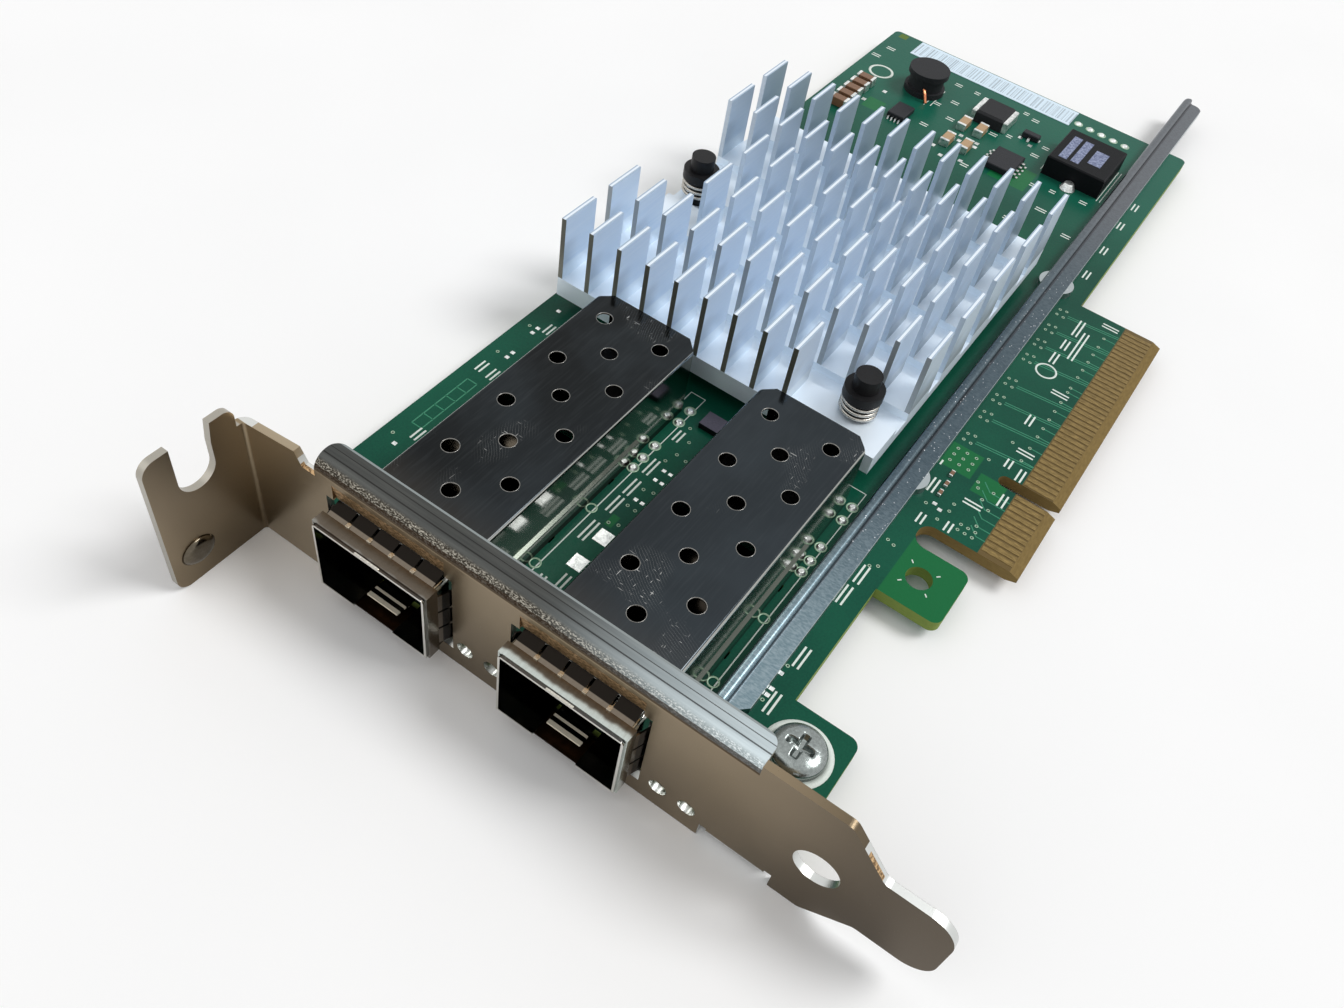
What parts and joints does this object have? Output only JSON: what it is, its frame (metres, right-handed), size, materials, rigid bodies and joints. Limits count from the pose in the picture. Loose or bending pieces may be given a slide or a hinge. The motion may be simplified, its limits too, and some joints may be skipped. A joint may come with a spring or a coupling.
{
  "type": "network interface card",
  "caption": "Low-profile network card with a folded bracket, pluggable transceiver cages, a cross-cut heat sink, a stiffener bar and a keyed card edge.",
  "frame": {"origin": "centre of the key notch on the outer edge of the contacts, halfway through the board", "axes": "+X along the card edge away from the bracket, +Y from the contacts to the card's top edge, +Z out of the component side"},
  "size_m": [0.1791, 0.0818, 0.0193],
  "materials": {
    "circuit_board": "green solder resist",
    "gold_contacts": "gold plate",
    "bracket_steel": "nickel-plated sheet steel",
    "screw_steel": "zinc-plated steel",
    "cage_steel": "bright nickel-plated sheet",
    "spring_sheet": "nickel-plated spring sheet",
    "black_moulding": "moulded black plastic",
    "sink_aluminium": "plain extruded aluminium",
    "bar_steel": "mottled plated steel",
    "pin_steel": "tinned steel",
    "spring_wire": "bright spring wire",
    "chip_resin": "black moulded resin",
    "chip_lid": "plated metal lid",
    "thermal_pad": "soft grey pad",
    "light_lens": "pale clear resin",
    "ferrite": "dark ferrite",
    "tan_ceramic": "tan ceramic",
    "brown_ceramic": "brown ceramic",
    "crystal_can": "plated metal can",
    "label_paper": "white printed label"
  },
  "bodies": {
    "root": {"circuit_board": "circuit_board", "edge_contacts": "gold_contacts", "bracket": "bracket_steel", "bracket_screw": "screw_steel", "heat_sink": "sink_aluminium", "controller_chip": "chip_lid", "thermal_pad": "thermal_pad", "stiffener_bar": "bar_steel", "bar_pins": "pin_steel", "status_lights": "light_lens", "memory_chip": "chip_resin", "regulator_chip": "chip_resin", "small_transistor": "chip_resin", "drum_inductor": "ferrite", "shielded_inductor": "ferrite", "power_module": "chip_resin", "tan_capacitors": "tan_ceramic", "brown_capacitors": "brown_ceramic", "small_capacitors": "brown_ceramic", "crystal": "crystal_can", "data_label": "label_paper", "cage_cover_1": "cage_steel", "cage_cover_2": "cage_steel", "cage_tray_1": "cage_steel", "cage_tray_2": "cage_steel", "finger_collar_1": "spring_sheet", "finger_collar_2": "spring_sheet", "host_connector_1": "black_moulding", "host_connector_2": "black_moulding", "push_pin_1": "black_moulding", "push_pin_2": "black_moulding", "pin_spring_1": "spring_wire", "pin_spring_2": "spring_wire"}
  },
  "joints": []
}
